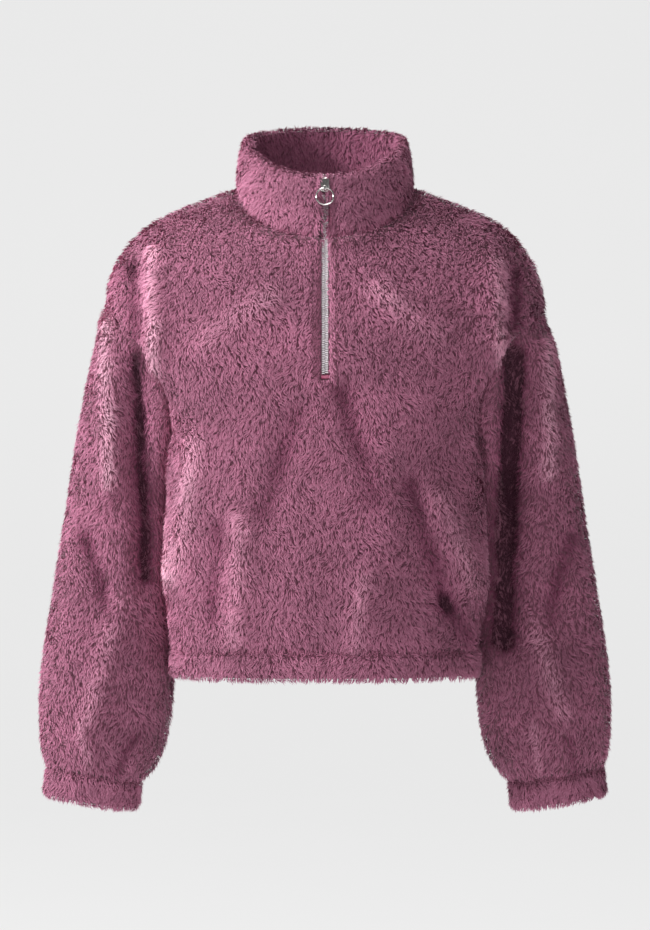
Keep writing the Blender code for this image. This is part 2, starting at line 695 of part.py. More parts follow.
def collar_section(point, inner, way):
    """The doubled collar in section: up the outer side, over the rounded edge, down the inside."""
    top = collar_top(point)
    up = unit(top - point)
    height = np.linalg.norm(top - point)
    centre = np.array([0.0, SHOULDER_SEAM[-1].y, point[2]])
    inward = centre - point
    if point[1] < SHOULDER_SEAM[-1].y:
        inward[0] *= min(1.0, (abs(point[0]) / COLLAR_TURNS_BESIDE_ZIP) ** 2)
    inward = unit(inward - inward.dot(up) * up)
    radius = COLLAR_THICK / 2
    section = [point + way * SEAM_GAP / 2]
    for share in COLLAR_OUTER_HEIGHTS:
        bulge = COLLAR_BULGE * math.sin(math.pi * share)
        section.append(point + up * height * share - inward * bulge)
    for angle in COLLAR_RIM_ANGLES:
        turn = math.radians(angle)
        middle = point + up * (height - radius) + inward * radius
        section.append(middle + radius * (up * math.sin(turn) - inward * math.cos(turn)))
    for share in reversed(COLLAR_OUTER_HEIGHTS):
        bulge = COLLAR_BULGE * math.sin(math.pi * share)
        section.append(point + up * height * share + inward * (COLLAR_THICK - bulge))
    foot = inner + way * SEAM_GAP / 2
    section.append(point + inward * COLLAR_THICK + up * (foot - point).dot(up))
    section.append(foot)
    return np.array(section)


def build_collar(body, fleece):
    points, inner, way = neck_line(body)
    stations = [collar_section(*column) for column in zip(points, inner, way)]
    bar("collar", stations, fleece)
    return stations


def zip_path(body):
    """Places on the pile's surface up the middle of the front, as (y, z), and the way in from each."""
    grid = body["front"]["grid"]
    rows = body_rows()
    places = [grid[i, HALF_COLUMNS, 1:] for i, row in enumerate(rows) if row > ZIP_BOTTOM_ROW - 0.01]
    top = collar_top(grid[-1, HALF_COLUMNS])[1:]
    foot = places[-1]
    places += [foot + (top - foot) * share for share in ZIP_IN_COLLAR]
    places = np.array(places)
    run = np.gradient(places, axis=0)
    run /= np.linalg.norm(run, axis=1, keepdims=True)
    inward = np.stack([run[:, 1], -run[:, 0]], axis=1)
    return places, inward


def path_at(path, z):
    """The place and the way in on the zip's path at a height."""
    places, inward = path
    place = np.array([np.interp(z, places[:, 1], places[:, 0]), z])
    way = np.array([np.interp(z, places[:, 1], inward[:, axis]) for axis in range(2)])
    return place, unit(way)


def zip_section(path, z, x_low, x_high, depths):
    place, way = path_at(path, z)
    corners = []
    for x, depth in ((x_low, depths[0]), (x_high, depths[0]), (x_high, depths[1]), (x_low, depths[1])):
        y, height = place + way * depth
        corners.append((x, y, height))
    return np.array(corners)


def zip_heights(path, low, high):
    inside = [z for z in path[0][:, 1] if low + STATIONS_APART < z < high - STATIONS_APART]
    return [low] + inside + [high]


def build_zip(body, finishes):
    path = zip_path(body)
    bottom = path[0][0, 1] + 1.0
    top = path[0][-1, 1]
    stop_top = bottom + STOP_HEIGHT
    chain = zip_heights(path, stop_top + SEAM_GAP, SLIDER_Z[0] - SEAM_GAP)
    sections = [zip_section(path, z, -CHAIN_HALF_WIDTH, CHAIN_HALF_WIDTH, CHAIN_DEPTHS) for z in chain]
    bar("zip_chain", sections, finishes["teeth"])
    for side, sign in (("left", -1), ("right", 1)):
        sections = []
        for z in zip_heights(path, bottom, TAPE_WIDE_TO):
            ends = sorted((sign * TAPE_INNER_X, sign * TAPE_WIDE_X))
            sections.append(zip_section(path, z, *ends, TAPE_DEPTHS))
        for z in zip_heights(path, TAPE_WIDE_TO + 2 * STATIONS_APART, top - TAPE_FROM_COLLAR_TOP):
            ends = sorted((sign * TAPE_INNER_X, sign * TAPE_NARROW_X))
            sections.append(zip_section(path, z, *ends, TAPE_DEPTHS))
        bar("zip_tape_" + side, sections, finishes["tape"])
    stop = [zip_section(path, z, -STOP_HALF_WIDTH, STOP_HALF_WIDTH, STOP_DEPTHS) for z in (bottom, stop_top)]
    bar("zip_bottom_stop", stop, finishes["stop"])
    stop = [zip_section(path, z, -CHAIN_HALF_WIDTH, CHAIN_HALF_WIDTH, TOP_STOP_DEPTHS) for z in TOP_STOP_Z]
    bar("zip_top_stop", stop, finishes["steel"])
    build_slider(path, finishes["steel"])


def slider_block(name, path, z_range, half, depths, finish):
    sections = [zip_section(path, z, -half, half, depths) for z in z_range]
    return bar(name, sections, finish)


def build_slider(path, steel):
    """The slider's body in the slit, its front plate, the bail over the plate, and the ring in the bail."""
    slider = slider_block("zip_slider", path, SLIDER_Z, SLIDER_BODY_HALF, SLIDER_BODY_DEPTHS, steel)
    plate = slider_block("zip_slider_plate", path, SLIDER_Z, SLIDER_PLATE_HALF, SLIDER_PLATE_DEPTHS, steel)
    pivot_z = SLIDER_Z[0] + PIVOT_ABOVE_SLIDER_FOOT
    place, way = path_at(path, pivot_z)
    pivot = place + way * PIVOT_DEPTH
    bail = bail_arch(pivot, way, steel)
    for helper in (plate, bail):
        join_solid(slider, helper)
    build_ring(pivot, way, steel)


def bail_arch(pivot, way, steel):
    """A flat wire arch in the plane x = 0, open towards the slider, whose hole holds the ring."""
    up = np.array([-way[1], way[0]])
    if up[1] < 0:
        up = -up
    foot = -PIVOT_DEPTH - BAIL_FOOT_ABOVE_SURFACE
    inside, outside = BAIL_HOLE_HALF, BAIL_HOLE_HALF + BAIL_WIRE
    right_half = (
        (inside, -outside),
        (outside, -BAIL_CORNER),
        (outside, foot),
        (inside, foot),
        (inside, -inside),
    )
    left_half = [(-along_up, along_in) for along_up, along_in in reversed(right_half)]
    outline = [pivot + up * along_up + way * along_in for along_up, along_in in (*right_half, *left_half)]
    sections = []
    for x in (-BAIL_HALF_WIDTH, BAIL_HALF_WIDTH):
        sections.append(np.array([(x, y, z) for y, z in outline]))
    return bar("zip_bail", sections, steel)


def join_solid(base, helper):
    union = base.modifiers.new("join " + helper.name, "BOOLEAN")
    union.operation = "UNION"
    union.object = helper
    helper.hide_render = True
    helper.display_type = "WIRE"


def build_ring(pivot, way, steel):
    """The pull: a round wire ring that hangs in front of the collar from the bail."""
    slope = math.atan2(way[1], way[0])
    bpy.ops.mesh.primitive_torus_add(
        major_segments=32,
        minor_segments=10,
        major_radius=RING_MEAN_RADIUS * MM,
        minor_radius=RING_WIRE_RADIUS * MM,
    )
    ring = bpy.context.object
    ring.name = "zip_pull_ring"
    ring.data.name = "zip_pull_ring"
    ring.data.shade_smooth()
    ring.data.materials.append(steel)
    for vertex in ring.data.vertices:
        across, up, through = vertex.co
        vertex.co = (across, through, up - RING_MEAN_RADIUS * MM)
    ring.data.flip_normals()
    ring.location = (0.0, pivot[0] * MM, pivot[1] * MM)
    ring.rotation_euler = (slope, 0.0, 0.0)


def main():
    clear_scene()
    fleece = material("teddy_fleece", FLEECE_COLOUR, 0.95)
    finishes = {
        "tape": material("zip_tape", TAPE_COLOUR, 0.85),
        "teeth": material("zip_teeth", TEETH_COLOUR, 0.4, 0.3),
        "stop": material("zip_stop", STOP_COLOUR, 0.5),
        "steel": material("zip_steel", STEEL_COLOUR, 0.25, 1.0),
    }
    right = sleeve_grid_right(SLEEVE_FOLDS["right"])
    left = mirrored(sleeve_grid_right(SLEEVE_FOLDS["left"]))
    sleeves = {
        "right": {"grid": right, "book": normal_book({"sleeve": (right, True, True)})},
        "left": {"grid": left, "book": normal_book({"sleeve": (left, False, True)})},
    }
    body = build_body(fleece, sleeves["right"], sleeves["left"])
    for side, sleeve in sleeves.items():
        build_sleeve(side, sleeve, fleece)
        build_cuff(side, sleeve, fleece)
    build_hem(body, sleeves["right"]["grid"], fleece)
    build_collar(body, fleece)
    build_zip(body, finishes)


main()
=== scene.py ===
"""Looks of the cropped half-zip teddy fleece top: knit shells, curly pile, zip, light and camera.

Everything is in metres in the frame of the solids: +Z is up and the front faces -Y.
Each cloth solid is as thick as its fleece, so a thin knit shell lies inside it and the pile fills the rest.
"""

import math
from collections import namedtuple

import bmesh
import bpy
import numpy as np
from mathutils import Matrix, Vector, kdtree


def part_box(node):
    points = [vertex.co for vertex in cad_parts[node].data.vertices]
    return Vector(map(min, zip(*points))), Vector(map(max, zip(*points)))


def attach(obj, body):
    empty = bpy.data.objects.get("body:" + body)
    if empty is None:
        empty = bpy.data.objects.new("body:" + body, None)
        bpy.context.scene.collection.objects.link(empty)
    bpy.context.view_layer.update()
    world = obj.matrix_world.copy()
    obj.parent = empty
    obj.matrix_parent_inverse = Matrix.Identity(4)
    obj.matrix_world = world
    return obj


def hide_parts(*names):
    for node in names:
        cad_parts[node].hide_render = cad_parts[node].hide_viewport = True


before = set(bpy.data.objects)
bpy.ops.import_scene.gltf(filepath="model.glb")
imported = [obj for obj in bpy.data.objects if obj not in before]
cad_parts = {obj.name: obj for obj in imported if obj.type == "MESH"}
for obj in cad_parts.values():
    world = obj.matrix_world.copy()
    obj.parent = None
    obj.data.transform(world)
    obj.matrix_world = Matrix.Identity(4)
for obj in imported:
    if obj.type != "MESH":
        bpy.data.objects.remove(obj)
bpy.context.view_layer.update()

MM = 0.001
TINY, NUDGE = 1e-12, 0.001  # keep a division and a cross product from failing

# Knit shells
PILE_DEPTH = 4.0 * MM  # the outer part of a solid's wall that is pile, with the knit backing behind it
MERGE = 0.005 * MM  # corners nearer than this are one
QUAD_ANGLE = math.radians(50)  # triangles that meet flatter than this are halves of one four-sided cell
RIM_ANGLE = math.radians(58)  # walls that meet more sharply than this form a rim
SHELL_LEVELS = 1
PILE_SIDE, BARE_SIDE = 0.99, 0.01  # a point between these shares of "outside" lies on a rim
MOSTLY_PILE = 0.5
COLLAR_FOOT = 9.0 * MM  # the collar's inner side is sewn down this near to the neck seam
RIM_DRAWN_IN, RIM_FADE = 0.25, 12 * MM  # a shell is drawn in less beside a seam, so that two shells meet
HEM_SEAM_Z, HEM_TUCK, HEM_TUCK_FROM = -0.480, 3.5 * MM, 6 * MM  # the body's lower rim reaches into the casing

# Lines along the hollows' middles
SLEEVE_MIDDLE_Z = (-0.66, -0.52, -0.33, -0.11)
SLEEVE_MIDDLE_X = (0.256, 0.2385, 0.2225, 0.205)
SLEEVE_MIDDLE_Y, SLEEVE_LOW, SLEEVE_BELOW = 0.010, -0.57, 0.02
CUFF_MIDDLE_Z = -0.635
BODY_MIDDLE_Y, BODY_MIDDLE_SHARE = -0.008, 0.55
BODY_LOW, BODY_HIGH, BODY_BELOW = -0.44, -0.11, 0.06
HEM_MIDDLE_Z = -0.494

# Zip slit in the front and the collar
SLIT_EDGE, SLIT_BESIDE = 6.0 * MM, 16.0 * MM
SLIT_BOTTOM = -0.196
SLIT_FRONT = -0.045  # the slit is in front of this y
SLIT_PILE = 0.86  # the pile's share of its full length at the slit's edge
SLIT_CLOSED, SLIT_OPEN = -0.040, -0.075  # the pile covers the zip's edges above the first height
SLIT_AWAY, SLIT_OVER, SLIT_DOWN = 0.45, 0.85, -0.6  # how far the pile beside the zip leans
SLIT_TURNED = 0.7
STITCH_X, STITCH_HALF, STITCH_PILE = 11.5 * MM, 1.3 * MM, 0.62

# Smooth uneven fields
WAVE_COUNT, WAVE_SPREAD, WAVE_SCALE = 7, (0.7, 1.8), 3.2
NAP_SIZE, PATCH_SIZE = 45 * MM, 90 * MM
CURL_SEED, WOBBLE_SEED, TONE_SEED, FINE_TONE_SEED, NAP_SEED, FINE_NAP_SEED = 3, 5, 8, 9, 11, 12

# Pile: bent blades of two triangles, gathered into tufts and shared out among pieces
Pile = namedtuple("Pile", "node blades pieces flat held")
PILES = (
    Pile("front", 132000, 2, (0.60, 0.44), "hung"),
    Pile("back", 95000, 1, (0.60, 0.46), "hung"),
    Pile("sleeve_left", 63000, 1, (0.38, 0.46), "hung"),
    Pile("sleeve_right", 63000, 1, (0.38, 0.46), "hung"),
    Pile("collar", 56000, 1, (0.60, 0.07), "folded"),
    Pile("hem_casing", 17000, 1, (0.92, 0.03), "gathered"),
    Pile("cuff_left", 7000, 1, (0.24, 0.033), "gathered"),
    Pile("cuff_right", 7000, 1, (0.24, 0.033), "gathered"),
)
BLADE_LENGTH, LENGTH_SPREAD = 8.2 * MM, 0.28
BLADE_HALF_WIDTH, WIDTH_RANGE = 0.50 * MM, (0.75, 1.25)
BLADE_WIDEST = 0.5  # of the length, where the blade also bends
BLADE_PART = 0.52  # each of its two parts is this share of its length
BLADE_CORNERS = 4
TWIST = 0.8  # radians that a blade may turn about its length
SURFACE_SHADE = 0.75  # the cloth's share of a blade's shading direction
SEAM_GROOVE, SEAM_PILE = 5.0 * MM, 0.60  # this near to a seam the pile has this share of its length
TURNED_EDGE = 3.0  # how much denser the pile stands on the collar's turned top edge
UPWARD_SCALE, UPWARD_FROM = 1.4, 0.2
CELL_U, CELL_V = (0.5, 0.8, 0.5, 0.2), (0.15, 0.5, 0.85, 0.5)  # a blade's corners in its UV cell

# The way that the pile lies
NAP_DOWN = (0.0, -0.15, -1.0)
NAP_SWIRL, FINE_NAP_SWIRL = 0.55, 0.35  # radians
BLADE_CURL, TUFT_CURL = 0.25, 0.60
CURLY_MIDDLE, CURLY_ACROSS, CURLY_WAY, CURLY_PATCHES = 0.55, 0.25, 0.08, 0.15  # curlier towards +X
RISE_LEAN, RISE_STRAY = 0.55, 0.16  # the lower part of a blade
REACH_UP, REACH_FLATTER, REACH_STRAY = 0.30, 0.2, 0.22  # the upper part, flatter beside the zip

# Tufts
TUFT_AREA, LEAST_TUFTS = (4.0 * MM) ** 2, 8
GATHER_BASE, GATHER_CURLY, GATHER_RANGE = 0.12, 0.42, (0.10, 0.7)
TUFT_TIP_UP, TUFT_TIP_ALONG, TUFT_TIP_PULL = 0.56, 0.62, 0.5
TUFT_MIDDLE_UP, TUFT_MIDDLE_PULL = 0.42, 0.22

# Tone of the pile, and the painted highlight on ridges and painted shade in troughs
TUFT_TONE, BLADE_TONE, PATCH_TONE, FINE_TONE = 0.22, 0.24, 0.15, 0.08
FOLD_LIGHT_FULL, FOLD_LIGHT_POWER = 8.0 * MM, 1.5  # the height of a crease at which its painted highlight or painted shade is full
FOLD_LIGHT_NONE = 0.445  # the share at which the pile has neither painted highlight nor painted shade
INNER_PAINTED_SHADE = 0.13  # painted shade on the collar's inner pile, by this share

# Creases in the knit shells: soft ridges (height over 0) and troughs, seen from the front; their heights also
# set the painted highlight on the ridges' pile and the painted shade in the troughs' pile
CREASE_FADE = 22 * MM  # a trough grows to its full depth over this way from a seam
WOBBLE, WOBBLE_SIZE = 0.25, 60 * MM
Crease = namedtuple("Crease", "face x0 z0 x1 z1 half_width height")
CREASES = {
    "front": (
        Crease("front", -0.181, -0.055, -0.178, -0.285, 0.008, 0.0070),
        Crease("front", -0.174, -0.285, -0.173, -0.470, 0.008, 0.0058),
        Crease("front", -0.205, -0.070, -0.199, -0.140, 0.010, -0.0060),
        Crease("front", 0.181, -0.065, 0.186, -0.280, 0.008, 0.0070),
        Crease("front", 0.176, -0.290, 0.180, -0.440, 0.009, 0.0050),
        Crease("front", 0.204, -0.075, 0.200, -0.135, 0.010, -0.0060),
        Crease("front", -0.136, -0.260, -0.158, -0.400, 0.014, 0.0046),
        Crease("front", -0.108, -0.345, -0.116, -0.440, 0.011, -0.0045),
        Crease("front", -0.088, -0.340, -0.096, -0.465, 0.012, 0.0036),
        Crease("front", 0.088, -0.300, 0.124, -0.425, 0.013, -0.0048),
        Crease("front", 0.124, -0.425, 0.152, -0.465, 0.012, -0.0040),
        Crease("front", 0.122, -0.315, 0.158, -0.410, 0.013, 0.0040),
        Crease("front", -0.060, -0.105, -0.120, -0.150, 0.016, 0.0035),
        Crease("front", 0.055, -0.100, 0.115, -0.145, 0.016, 0.0035),
        Crease("front", 0.020, -0.205, 0.052, -0.320, 0.013, -0.0040),
        Crease("front", -0.030, -0.230, -0.062, -0.330, 0.014, -0.0035),
        Crease("front", 0.040, -0.400, 0.032, -0.470, 0.010, 0.0040),
    ),
    "back": (
        Crease("back", -0.172, -0.085, -0.168, -0.270, 0.012, 0.0045),
        Crease("back", 0.173, -0.085, 0.169, -0.262, 0.012, 0.0045),
        Crease("back", -0.095, -0.260, -0.120, -0.440, 0.013, 0.0034),
        Crease("back", 0.088, -0.240, 0.112, -0.430, 0.013, 0.0034),
        Crease("back", -0.020, -0.330, 0.010, -0.460, 0.013, -0.0036),
        Crease("back", -0.140, -0.180, -0.100, -0.290, 0.014, -0.0042),
        Crease("back", 0.140, -0.190, 0.098, -0.300, 0.014, -0.0042),
    ),
    "sleeve_left": (
        Crease("front", -0.235, -0.125, -0.232, -0.300, 0.009, 0.0070),
        Crease("front", -0.201, -0.165, -0.194, -0.400, 0.011, -0.0085),
        Crease("front", -0.258, -0.360, -0.230, -0.440, 0.011, -0.0060),
        Crease("front", -0.222, -0.430, -0.252, -0.550, 0.011, 0.0045),
        Crease("front", -0.205, -0.575, -0.228, -0.612, 0.006, -0.0045),
        Crease("front", -0.262, -0.560, -0.255, -0.605, 0.006, 0.0035),
        Crease("back", -0.240, -0.390, -0.215, -0.500, 0.010, -0.0050),
        Crease("back", -0.234, -0.150, -0.238, -0.290, 0.013, 0.0050),
    ),
    "sleeve_right": (
        Crease("front", 0.238, -0.150, 0.240, -0.290, 0.010, 0.0060),
        Crease("front", 0.201, -0.165, 0.194, -0.470, 0.013, -0.0165),
        Crease("front", 0.264, -0.360, 0.238, -0.450, 0.011, -0.0055),
        Crease("front", 0.228, -0.450, 0.254, -0.545, 0.011, 0.0050),
        Crease("front", 0.262, -0.575, 0.270, -0.612, 0.006, -0.0045),
        Crease("front", 0.225, -0.560, 0.232, -0.605, 0.006, 0.0035),
        Crease("back", 0.243, -0.400, 0.218, -0.505, 0.010, -0.0050),
        Crease("back", 0.232, -0.150, 0.236, -0.290, 0.013, 0.0050),
    ),
}

# Zip
TOOTH_PITCH, TOOTH_HALF_HEIGHT = 1.9 * MM, 0.62 * MM
TOOTH_REACH = (0.15 * MM, 3.5 * MM)  # from the middle outwards
TOOTH_STANDS_OUT, TOOTH_SHOULDER, TOOTH_DEPTH = 0.9 * MM, 0.4, 2.4 * MM
TOOTH_TIP, TOOTH_WIDTH_KEPT = 0.62, 0.55  # how a tooth narrows at its tip
TOOTH_CORNERS = ((0, -1), (1, -1), (1, 1), (0, 1))  # which reach, and below or above its middle
ROUNDED, ROUND_SEGMENTS, ROUND_PROFILE = 0.35 * MM, 3, 0.5
FLAT_ANGLE, SHARP_ANGLE, SMOOTH_ANGLE = math.radians(4), 0.5, math.radians(40)
RING_MEAN_RADIUS, RING_WIRE_RADIUS = 9.2 * MM, 0.95 * MM
RING_SEGMENTS, RING_WIRE_SEGMENTS = 72, 20

# Colours, with their places along a ramp where they have one
PILE_COLOURS = ((0.0, (0.225, 0.064, 0.118)), (0.5, (0.375, 0.130, 0.212)), (1.0, (0.53, 0.232, 0.335)))
PILE_SHEEN = (0.95, 0.52, 0.68, 1)
# the fold values and saturations paint highlight on crease ridges (lighter and paler) and shade in troughs
# (darker)
TONE_VALUES, FOLD_LIGHT_VALUES, FOLD_LIGHT_SATURATIONS = (0.66, 1.34), (0.12, 2.10), (1.30, 0.70)
# the knit backing's colour, kept dark partly as painted shade between the tufts
KNIT_AND_GAP_SHADE_COLOURS = ((0.3, (0.17, 0.054, 0.090)), (0.7, (0.26, 0.090, 0.142)))
TAPE_COLOURS = ((0.2, (0.20, 0.055, 0.10)), (0.8, (0.42, 0.15, 0.235)))
TOOTH_COLOURS = ((0.86, 0.81, 0.84), (0.98, 0.95, 0.97))
STEEL_COLOURS = ((0.62, 0.58, 0.57), (0.80, 0.76, 0.75))
STOP_COLOURS = ((0.36, 0.05, 0.13), (0.52, 0.10, 0.20))
WEAR_PLACES, GLOSS_RANGE = (0.35, 0.65), (0.8, 1.3)
PAPER_COLOURS = ((0.3, (0.150, 0.150, 0.150)), (0.7, (0.155, 0.155, 0.155)))
WHITE = (1, 1, 1, 1)

# Stage, light and camera
FLOOR_Z, WALL_Y, STAGE_HALF, SWEEP_RADIUS, SWEEP_STEPS = -1.15, 4.8, 9.0, 1.2, 12
PAPER_GLOW, WORLD_STRENGTH = 0.72, 0.10
Light = namedtuple("Light", "name place target size power")
LIGHTS = (
    Light("key", (-2.8, -1.0, 1.0), (0, 0, -0.25), 0.6, 136),
    Light("fill", (0.3, -3.0, 0.4), (0, 0, -0.3), 1.4, 25),
    Light("top", (-0.5, -0.1, 2.2), (0, 0, -0.2), 1.0, 40),
)
CAMERA_DISTANCE, CAMERA_HEIGHT, CAMERA_LENS, CAMERA_SENSOR = 2.6, -0.283, 92.3, 36


def waves(points, size, seed):
    """A smooth uneven field over space, between about -1 and 1."""
    rng = np.random.default_rng(seed)
    total = np.zeros(len(points))
    for _ in range(WAVE_COUNT):
        direction = rng.normal(size=3)
        direction *= 2 * math.pi / (size * rng.uniform(*WAVE_SPREAD) * np.linalg.norm(direction))
        total += np.sin(points @ direction + rng.uniform(0, 2 * math.pi))
    return total / WAVE_SCALE


def units(vectors):
    return vectors / np.maximum(np.linalg.norm(vectors, axis=1, keepdims=True), TINY)


def smooth(values):
    values = np.clip(values, 0, 1)
    return values * values * (3 - 2 * values)


def nearest(points, targets):
    """Distance and index of the nearest target for each point."""
    tree = kdtree.KDTree(len(targets))
    for index, target in enumerate(targets):
        tree.insert(target, index)
    tree.balance()
    found = [tree.find(point) for point in points]
    return np.array([hit[2] for hit in found]), np.array([hit[1] for hit in found])


def add_object(name, data):
    made = bpy.data.objects.new(name, data)
    bpy.context.collection.objects.link(made)
    return made


def arrays_of(mesh):
    """A mesh's points and their normals."""
    points = np.empty(len(mesh.vertices) * 3)
    mesh.vertices.foreach_get("co", points)
    normals = np.empty(len(mesh.vertices) * 3)
    mesh.vertex_normals.foreach_get("vector", normals)
    return points.reshape(-1, 3), normals.reshape(-1, 3)


def triangles_of(mesh):
    mesh.calc_loop_triangles()
    triangles = np.empty(len(mesh.loop_triangles) * 3, np.int32)
    mesh.loop_triangles.foreach_get("vertices", triangles)
    return triangles.reshape(-1, 3)


def crosses_of(points, triangles):
    """For each triangle, a vector square to it that is twice as long as its area."""
    a, b, c = (points[triangles[:, corner]] for corner in range(3))
    return np.cross(b - a, c - a)


def outside_of(mesh):
    outside = np.empty(len(mesh.vertices))
    mesh.attributes["outside"].data.foreach_get("value", outside)
    return outside


def rim_points(points, outside):
    return points[(outside > BARE_SIDE) & (outside < PILE_SIDE)]


def inside_points(node, points):
    """For each point of a cloth piece, a place in the hollow behind it."""
    middle = points.copy()
    height = points[:, 2]
    if node.startswith(("sleeve", "cuff")):
        side = 1 if node.endswith("right") else -1
        middle[:, 0] = side * np.interp(height, SLEEVE_MIDDLE_Z, SLEEVE_MIDDLE_X)
        middle[:, 1] = SLEEVE_MIDDLE_Y
        below = np.maximum(height - SLEEVE_BELOW, SLEEVE_LOW)
        middle[:, 2] = CUFF_MIDDLE_Z if node.startswith("cuff") else below
    elif node == "collar":
        middle[:, :2] = (0, BODY_MIDDLE_Y)
    else:
        middle[:, 0] *= BODY_MIDDLE_SHARE
        middle[:, 1] = BODY_MIDDLE_Y
        below = np.clip(height - BODY_BELOW, BODY_LOW, BODY_HIGH)
        middle[:, 2] = HEM_MIDDLE_Z if node == "hem_casing" else below
    return middle


def in_slit(points):
    return (points[:, 1] < SLIT_FRONT) & (points[:, 2] > SLIT_BOTTOM)


def crease_heights(node, points, middle):
    """How far the creases lift the cloth at each point, or sink it where the height is negative."""
    heights = np.zeros(len(points))
    front = points[:, 1] < middle[:, 1]
    wobble = 1 + WOBBLE * waves(points, WOBBLE_SIZE, WOBBLE_SEED)
    for crease in CREASES.get(node, ()):
        run = np.array([crease.x1 - crease.x0, crease.z1 - crease.z0])
        away = points[:, [0, 2]] - np.array([crease.x0, crease.z0])
        along = np.clip(away @ run / (run @ run), 0, 1)
        distance = np.linalg.norm(away - along[:, None] * run, axis=1)
        height = crease.height * wobble * np.exp(-((distance / crease.half_width) ** 2))
        heights += np.where(front == (crease.face == "front"), height, 0)
    return heights


def quad_mesh(node):
    """The solid's mesh with its corners merged and its triangle pairs joined back into cells."""
    build = bmesh.new()
    build.from_mesh(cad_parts[node].data)
    bmesh.ops.remove_doubles(build, verts=build.verts, dist=MERGE)
    bmesh.ops.join_triangles(
        build, faces=build.faces, angle_face_threshold=QUAD_ANGLE, angle_shape_threshold=math.pi
    )
    mesh = bpy.data.meshes.new(node + "_knit")
    build.to_mesh(mesh)
    build.free()
    return mesh


def mark_outside(node, mesh):
    """Stores 1 on the corners that carry pile and 0 on those of the bare inner side."""
    points, normals = arrays_of(mesh)
    outside = ((points - inside_points(node, points)) * normals).sum(axis=1) > 0
    if node == "collar":
        body = np.concatenate([arrays_of(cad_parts[name].data)[0] for name in ("front", "back")])
        distance, _ = nearest(points, body)
        outside |= distance > COLLAR_FOOT
    layer = mesh.attributes.new("outside", "FLOAT", "POINT")
    layer.data.foreach_set("value", outside.astype(np.float32))


def keep_rims_sharp(mesh):
    """Holds each edge of the wall's rim in place while the mesh is smoothed."""
    build = bmesh.new()
    build.from_mesh(mesh)
    crease = build.edges.layers.float.new("crease_edge")
    for edge in build.edges:
        if len(edge.link_faces) == 2 and edge.calc_face_angle() > RIM_ANGLE:
            edge[crease] = 1
    build.to_mesh(mesh)
    build.free()


def smoothed(node, mesh):
    """The mesh with each of its cells divided and smoothed."""
    rough = add_object(node + "_rough", mesh)
    modifier = rough.modifiers.new("smooth", "SUBSURF")
    modifier.levels = modifier.render_levels = SHELL_LEVELS
    graph = bpy.context.evaluated_depsgraph_get()
    fine = bpy.data.meshes.new_from_object(rough.evaluated_get(graph))
    bpy.data.objects.remove(rough)
    return fine


def side_normals(mesh, points, outside):
    """Normals of the pile side alone, so that a rim is drawn in square to the cloth."""
    triangles = triangles_of(mesh)
    triangles = triangles[(outside[triangles] > PILE_SIDE).all(axis=1)]
    across = crosses_of(points, triangles)
    normals = np.zeros_like(points)
    for corner in range(3):
        np.add.at(normals, triangles[:, corner], across)
    found = np.flatnonzero(np.linalg.norm(normals, axis=1) > 0)
    normals[found] = units(normals[found])
    rest = np.flatnonzero((outside > BARE_SIDE) & (np.linalg.norm(normals, axis=1) == 0))
    if len(rest):
        _, index = nearest(points[rest], points[found])
        normals[rest] = normals[found[index]]
    return normals


def knit_shell(node):
    """A smooth thin shell inside the solid: its pile side is drawn in by the pile's depth."""
    mesh = quad_mesh(node)
    mark_outside(node, mesh)
    keep_rims_sharp(mesh)
    fine = smoothed(node, mesh)
    points, normals = arrays_of(fine)
    outside = outside_of(fine)
    from_rim, _ = nearest(points, rim_points(points, outside))
    drawn_in = PILE_DEPTH * outside * (RIM_DRAWN_IN + (1 - RIM_DRAWN_IN) * smooth(from_rim / RIM_FADE))
    push = -side_normals(fine, points, outside) * drawn_in[:, None]
    beside = np.clip((np.abs(points[:, 0]) - SLIT_EDGE) / SLIT_EDGE, 0, 1)
    push[:, 0] *= np.where(in_slit(points), beside, 1)
    if node in ("front", "back"):
        low = 1 - (points[:, 2] - HEM_SEAM_Z) / HEM_TUCK_FROM
        push[:, 2] -= HEM_TUCK * smooth(low)
    out = normals * np.where(outside > MOSTLY_PILE, 1, -1)[:, None]
    lift = crease_heights(node, points, inside_points(node, points))
    lift = np.where(lift < 0, lift * smooth(from_rim / CREASE_FADE), lift)
    fine.vertices.foreach_set("co", (points + push + out * lift[:, None]).ravel())
    fine.update()
    fine.shade_smooth()
    fine.name = node + "_knit"
    return add_object(node + "_knit", fine)


def scatter(shell, count, dense_edge, rng):
    """Places and normals spread evenly over the shell's pile side, and how far each is from a seam."""
    points, normals = arrays_of(shell.data)
    outside = outside_of(shell.data)
    triangles = triangles_of(shell.data)
    triangles = triangles[(outside[triangles] > MOSTLY_PILE).all(axis=1)]
    areas = np.linalg.norm(crosses_of(points, triangles), axis=1) / 2
    upward = smooth(normals[triangles, 2].mean(axis=1) * UPWARD_SCALE - UPWARD_FROM)
    weights = areas * (1 + dense_edge * upward)
    chosen = triangles[rng.choice(len(triangles), size=count, p=weights / weights.sum())]
    first, second = rng.random(count), rng.random(count)
    over = first + second > 1
    first[over], second[over] = 1 - first[over], 1 - second[over]
    shares = np.stack([1 - first - second, first, second], axis=1)[:, :, None]
    places = (points[chosen] * shares).sum(axis=1)
    facing = units((normals[chosen] * shares).sum(axis=1))
    distance, _ = nearest(places, rim_points(points, outside))
    return places, facing, distance, areas.sum()


def nap(points, normals, curl, rng):
    """The way the pile lies: mostly down the cloth, swirling a little."""
    turn = NAP_SWIRL * waves(points, NAP_SIZE, NAP_SEED)
    turn = turn + FINE_NAP_SWIRL * waves(points, NAP_SIZE / 3, FINE_NAP_SEED)
    turn = turn + curl * rng.normal(size=len(points))
    down = np.tile(NAP_DOWN, (len(points), 1))
    down -= (down * normals).sum(axis=1, keepdims=True) * normals
    down = units(down)
    side = np.cross(normals, down)
    return down * np.cos(turn)[:, None] + side * np.sin(turn)[:, None]


